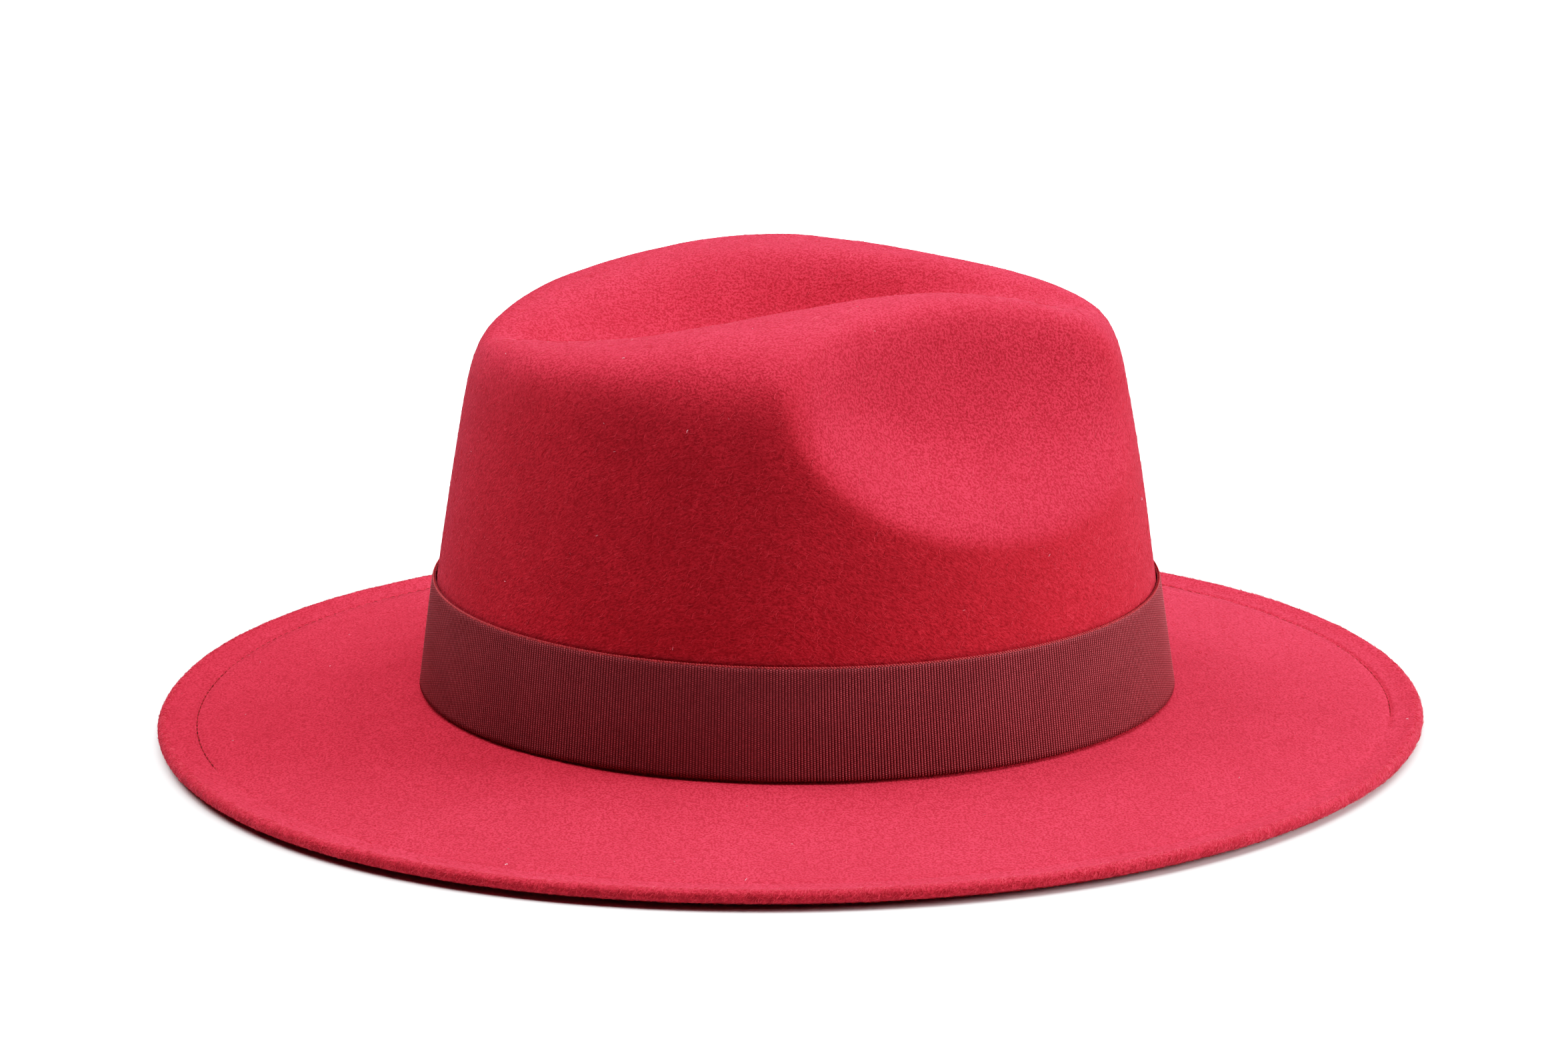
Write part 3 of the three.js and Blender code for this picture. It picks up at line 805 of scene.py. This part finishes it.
def finish_group(tree, given, gives, instances):
    real = add(tree, "GeometryNodeRealizeInstances", {"Geometry": instances}).outputs[0]
    smooth = add(tree, "GeometryNodeSetShadeSmooth", {"Geometry": real}).outputs[0]
    dressed = {"Geometry": smooth, "Material": given["Material"]}
    done = add(tree, "GeometryNodeSetMaterial", dressed).outputs[0]
    tree.links.new(done, gives["Geometry"])


def random_value(tree, low, high, seed):
    """A random number, whose limits this node takes in its inputs 2 and 3."""
    inputs = {2: low, 3: high, "Seed": seed}
    return add(tree, "FunctionNodeRandomValue", inputs, data_type="FLOAT").outputs[1]


def random_choice(tree, count, seed):
    """A random whole number below count, whose limits this node takes in its inputs 4 and 5."""
    inputs = {4: 0, 5: count - 1, "Seed": seed}
    return add(tree, "FunctionNodeRandomValue", inputs, data_type="INT").outputs[2]


def align(tree, vector, axis, pivot="AUTO", start=None):
    """A rotation that turns an axis towards a vector, from no rotation or from a given one."""
    inputs = {"Vector": vector}
    if start is not None:
        inputs["Rotation"] = start
    return add(tree, "FunctionNodeAlignRotationToVector", inputs, axis=axis, pivot_axis=pivot).outputs[0]


def turn_on(tree, rotation, angles):
    """A rotation with a further turn about its own axes."""
    turn = add(tree, "FunctionNodeEulerToRotation", {0: angles}).outputs[0]
    return add(tree, "FunctionNodeRotateRotation", {0: rotation, 1: turn}, rotation_space="LOCAL").outputs[0]


def bent_line(tree, steps, start, middle, end):
    points = {"Resolution": steps, "Start": start, "Middle": middle, "End": end}
    return add(tree, "GeometryNodeCurveQuadraticBezier", points).outputs[0]


def nap_group():
    """Loose wool fibres scattered over a surface, each a short bent strip lying mostly round the hat."""
    inputs = [(name, "NodeSocketFloat", 1.0) for name in ("Density", "Length", "Width", "Rise")]
    inputs.append(("Seed", "NodeSocketInt", SEED))
    tree, given, gives = geometry_group("loose wool", inputs)
    seed, length, rise = given["Seed"], given["Length"], given["Rise"]
    surface = {"Mesh": given["Geometry"], "Density": given["Density"], "Seed": seed}
    scatter = add(tree, "GeometryNodeDistributePointsOnFaces", surface).outputs
    half_width = times(tree, given["Width"], 0.5)
    ends = {"Start": combine(tree, times(tree, half_width, -1.0)), "End": combine(tree, half_width)}
    section = add(tree, "GeometryNodeCurvePrimitiveLine", ends).outputs[0]
    start = combine(tree, times(tree, length, -0.5))
    shapes = add(tree, "GeometryNodeGeometryToInstance")
    for bend, lift, tip, tilt in FIBRE_SHAPES:
        middle = combine(tree, 0.0, times(tree, length, bend), times(tree, rise, lift))
        end = combine(tree, times(tree, length, 0.5), 0.0, times(tree, rise, tip))
        line = bent_line(tree, FIBRE_STEPS, start, middle, end)
        tilted = add(tree, "GeometryNodeSetCurveTilt", {"Curve": line, "Tilt": tilt}).outputs[0]
        strip = add(tree, "GeometryNodeCurveToMesh", {"Curve": tilted, "Profile Curve": section}).outputs[0]
        tree.links.new(strip, shapes.inputs[0])
    level = vector_math(tree, "CROSS_PRODUCT", UP, scatter["Normal"])[0]
    round_hat = align(tree, level, "X", "Z", scatter["Rotation"])
    fibres = {
        "Points": scatter["Points"],
        "Instance": shapes.outputs[0],
        "Pick Instance": True,
        "Instance Index": random_choice(tree, len(FIBRE_SHAPES), seed),
        "Rotation": turn_on(tree, round_hat, combine(tree, z=random_value(tree, -NAP_TURN, NAP_TURN, seed))),
        "Scale": random_value(tree, NAP_SMALLEST, NAP_LARGEST, seed),
    }
    placed = add(tree, "GeometryNodeInstanceOnPoints", fibres).outputs[0]
    tones = {"Geometry": placed, "Name": "tone", "Value": random_value(tree, 0.0, 1.0, seed)}
    toned = add(tree, "GeometryNodeStoreNamedAttribute", tones, data_type="FLOAT", domain="INSTANCE")
    finish_group(tree, given, gives, toned.outputs[0])
    return tree


def stitch_group():
    """Short bent lengths of thread, one after the other along a line."""
    inputs = [(name, "NodeSocketFloat", 1.0) for name in ("Length", "Thickness", "Bow", "Slant")]
    inputs.append(("Count", "NodeSocketInt", 1))
    tree, given, gives = geometry_group("row of stitches", inputs)
    line = add(tree, "GeometryNodeMeshToCurve", {"Mesh": given["Geometry"]}).outputs[0]
    along = {"Curve": line, "Count": given["Count"]}
    spots = add(tree, "GeometryNodeCurveToPoints", along, mode="COUNT").outputs
    dip = times(tree, given["Bow"], -1.0)
    start = combine(tree, times(tree, given["Length"], -0.5), 0.0, dip)
    end = combine(tree, times(tree, given["Length"], 0.5), 0.0, dip)
    core = bent_line(tree, THREAD_STEPS, start, combine(tree, z=given["Bow"]), end)
    place = add(tree, "GeometryNodeSplineParameter").outputs["Factor"]
    arch = math_node(tree, "SINE", times(tree, place, math.pi))
    swell = math_node(tree, "POWER", arch, THREAD_TAPER)
    ring = {"Resolution": THREAD_SIDES, "Radius": times(tree, given["Thickness"], 0.5)}
    thread = {
        "Curve": core,
        "Profile Curve": add(tree, "GeometryNodeCurvePrimitiveCircle", ring, mode="RADIUS").outputs[0],
        "Scale": times_plus(tree, swell, 1 - THREAD_TIP, THREAD_TIP),
        "Fill Caps": True,
    }
    upright = align(tree, UP, "Z", "X", align(tree, spots["Tangent"], "X"))
    stitches = {
        "Points": spots["Points"],
        "Instance": add(tree, "GeometryNodeCurveToMesh", thread).outputs[0],
        "Rotation": turn_on(tree, upright, combine(tree, y=given["Slant"])),
    }
    finish_group(tree, given, gives, add(tree, "GeometryNodeInstanceOnPoints", stitches).outputs[0])
    return tree


def grow(made, group, values):
    """Runs a geometry tree on an object, and leaves its result as the object's plain mesh."""
    modifier = made.modifiers.new("grow", "NODES")
    modifier.node_group = group
    names = {item.name: item.identifier for item in group.interface.items_tree if item.in_out == "INPUT"}
    for label, value in values.items():
        modifier[names[label]] = value
    depsgraph = bpy.context.evaluated_depsgraph_get()
    plain = bpy.data.meshes.new_from_object(made.evaluated_get(depsgraph))
    made.modifiers.remove(modifier)
    old = made.data
    made.data = plain
    plain.name = made.name
    bpy.data.meshes.remove(old)
    return made


def build_nap(name, rows, group, material, nap):
    """Loose fibres on some rings of the felt."""
    count, length, width, rise, seed = nap
    made = mesh_object(name, rows.reshape(-1, 3), ring_faces(len(rows), COLUMNS), material)
    area = sum(face.area for face in made.data.polygons)
    values = {
        "Density": count / area,
        "Length": length * MM,
        "Width": width * MM,
        "Rise": rise * MM,
        "Seed": seed,
        "Material": material,
    }
    return grow(made, group, values)


def build_seam(group, material):
    """Stitches in the groove of the rim, sunk out of sight where the nap has closed over them."""
    deg = np.linspace(0, 360, LINE_POINTS, endpoint=False)
    edge, _, out = brim_spokes(deg)
    line = edge - out * (SEAM_INSET * seam_shift(deg))[:, None]
    far_side = np.clip(np.sin(np.radians(deg)), 0, 1)
    sunk = STITCH_SINK * (1 - seam_showing(deg))
    line[:, 2] = SEAM_Z + STITCH_LIFT + FAR_LIFT * far_side - sunk
    length = np.linalg.norm(line - np.roll(line, 1, axis=0), axis=1).sum()
    values = {
        "Count": round(length / STITCH_PITCH),
        "Length": STITCH_LENGTH * MM,
        "Thickness": STITCH_THICK * MM,
        "Bow": STITCH_BOW * MM,
        "Slant": 0.0,
        "Material": material,
    }
    return grow(loop_object("rim_stitches", line, material), group, values)


def build_selvedge(group, material, ribs, row):
    """A row of slanting loops along the ribbon's upper edge."""
    slant, drop = LOOP_ROWS[row]
    deg = np.linspace(0, 360, LINE_POINTS, endpoint=False)
    out = RIBBON_GAP + RIBBON_THICK * (LOOP_OUT + lapped(deg))
    line = wall_point(deg, ribbon_foot(deg) + RIBBON_HEIGHT - drop, out)
    line[:, 1] += CROWN_Y
    line = np.roll(line, row, axis=0)
    values = {
        "Count": ribs,
        "Length": LOOP_LENGTH * MM,
        "Thickness": LOOP_THICK * MM,
        "Bow": LOOP_BOW * MM,
        "Slant": slant,
        "Material": material,
    }
    return grow(loop_object(f"ribbon_edge_{row + 1}", line, material), group, values)


def dress():
    """Builds every piece of the hat with its finish, hides the plain felt and ribbon parts of the model, and
    sets each piece to ride on the hat's root.
    """
    felt, rows, counts = build_felt(felt_material(matted_fibres_group()))
    ribbon, ribs, length = build_ribbon(ribbon_material())
    nap = nap_group()
    stitches = stitch_group()
    wool = wool_material("red wool", WOOL_DARK, WOOL_PALE)
    dust = wool_material("pale lint", LINT_DARK, LINT_PALE)
    seam_thread = thread_material("dark red thread", SEAM_DARK, SEAM_PALE, roughness=0.6)
    loop_thread = thread_material("red edge thread", LOOP_DARK, LOOP_PALE, roughness=0.45)
    crown_end = counts["crown"]
    brim_end = crown_end + counts["top"]
    rim_end = brim_end + counts["rim"]
    brim_from = crown_end + BREAK_ROWS
    rim_from = brim_end + RIM_NAP_AFTER
    crown_nap = build_nap("crown_nap", rows[1:crown_end], nap, wool, CROWN_NAP)
    brim_nap = build_nap("brim_nap", rows[brim_from:rim_from], nap, wool, BRIM_NAP)
    rim_nap = build_nap("rim_nap", rows[rim_from:rim_end - RIM_NAP_BARE], nap, wool, RIM_NAP)
    lint = build_nap("lint", rows[1:rim_from], nap, dust, LINT)
    seam = build_seam(stitches, seam_thread)
    edges = [build_selvedge(stitches, loop_thread, ribs, row) for row in range(len(LOOP_ROWS))]
    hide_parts("felt_body")
    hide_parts("ribbon_band")
    for piece in (felt, crown_nap, brim_nap, rim_nap, lint, seam):
        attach(piece, "root")
    for piece in (ribbon, *edges):
        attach(piece, "root")


# Floor, light and camera


def build_floor():
    """A pale floor that throws light back up from near the hat only, and looks white further away."""
    corners = FLOOR_SIZE * np.array([(-1, -1, 0), (1, -1, 0), (1, 1, 0), (-1, 1, 0)])
    material, tree, sockets = new_material("pale floor", {"Roughness": 0.7, "Emission Strength": 1.0})
    place = object_place(tree)
    pale = color_mix(tree, noise(tree, place, scale=3.0), FLOOR_GREY, FLOOR_PALE)
    away = vector_math(tree, "LENGTH", place)["Value"]
    far = ramp(tree, away, FLOOR_NEAR * MM, FLOOR_FAR * MM)
    ray = add(tree, "ShaderNodeLightPath").outputs
    bounce = color_mix(tree, far, FLOOR_BOUNCE, FLOOR_DIM)
    tree.links.new(color_mix(tree, ray["Is Diffuse Ray"], pale, bounce), sockets["Base Color"])
    glow = times(tree, far, ray["Is Camera Ray"])
    tree.links.new(color_mix(tree, glow, BLACK, WHITE), sockets["Emission Color"])
    mesh_object("floor", corners, np.array([(0, 1, 2, 3)]), material)


def set_matrix(made, right, up, back, place):
    matrix = np.eye(4)
    matrix[:3, :3] = np.stack([right, up, back], -1)
    matrix[:3, 3] = place
    made.matrix_world = Matrix(matrix.tolist())


def area_light(name, place, size, watts):
    """A round soft light aimed at the hat."""
    data = bpy.data.lights.new(name, "AREA")
    data.shape = "DISK"
    data.size = size
    data.energy = watts
    back = np.array(place, float) - np.array(LIGHT_AIM, float)
    back /= np.linalg.norm(back)
    right = np.cross(NEARLY_UP, back)
    right /= np.linalg.norm(right)
    set_matrix(link(name, data), right, np.cross(back, right), back, place)


def build_lights():
    for name, (place, size, watts) in LIGHTS.items():
        area_light(name, place, size, watts)
    world = bpy.data.worlds.new("soft white room")
    world.use_nodes = True
    background = world.node_tree.nodes["Background"]
    background.inputs["Color"].default_value = WHITE
    background.inputs["Strength"].default_value = ROOM_LIGHT
    bpy.context.scene.world = world


def build_camera():
    data = bpy.data.cameras.new("camera")
    data.sensor_fit = "HORIZONTAL"
    data.sensor_width = SENSOR_WIDTH
    data.lens = FOCAL_PIXELS / IMAGE_WIDTH * SENSOR_WIDTH
    data.clip_start = CLIP_NEAR
    data.clip_end = CLIP_FAR
    sine, cosine = math.sin(CAMERA_AZIMUTH), math.cos(CAMERA_AZIMUTH)
    level = math.cos(CAMERA_ELEVATION)
    back = np.array([sine * level, -cosine * level, math.sin(CAMERA_ELEVATION)])
    right = np.array([cosine, sine, 0])
    up = np.cross(back, right)
    place = (AIM_SIDE * right + AIM_Z * np.array(UP) + CAMERA_DISTANCE * back) * MM
    c, s = math.cos(CAMERA_ROLL), math.sin(CAMERA_ROLL)
    camera = link("camera", data)
    set_matrix(camera, c * right + s * up, c * up - s * right, back, place)
    bpy.context.scene.camera = camera


def build_contrast():
    """A photographer's contrast: darks deeper, brights eased towards white."""
    view = bpy.context.scene.view_settings
    view.view_transform = "Standard"
    view.use_curve_mapping = True
    line = view.curve_mapping.curves[SHARED_CURVE]
    limit = CONTRAST_EASE ** CONTRAST
    for level in CONTRAST_LEVELS:
        bent = level ** CONTRAST
        line.points.new(level, bent * (1 + limit) / (bent + limit))
    view.curve_mapping.update()


dress()
build_floor()
build_lights()
build_camera()
build_contrast()
bpy.context.view_layer.update()
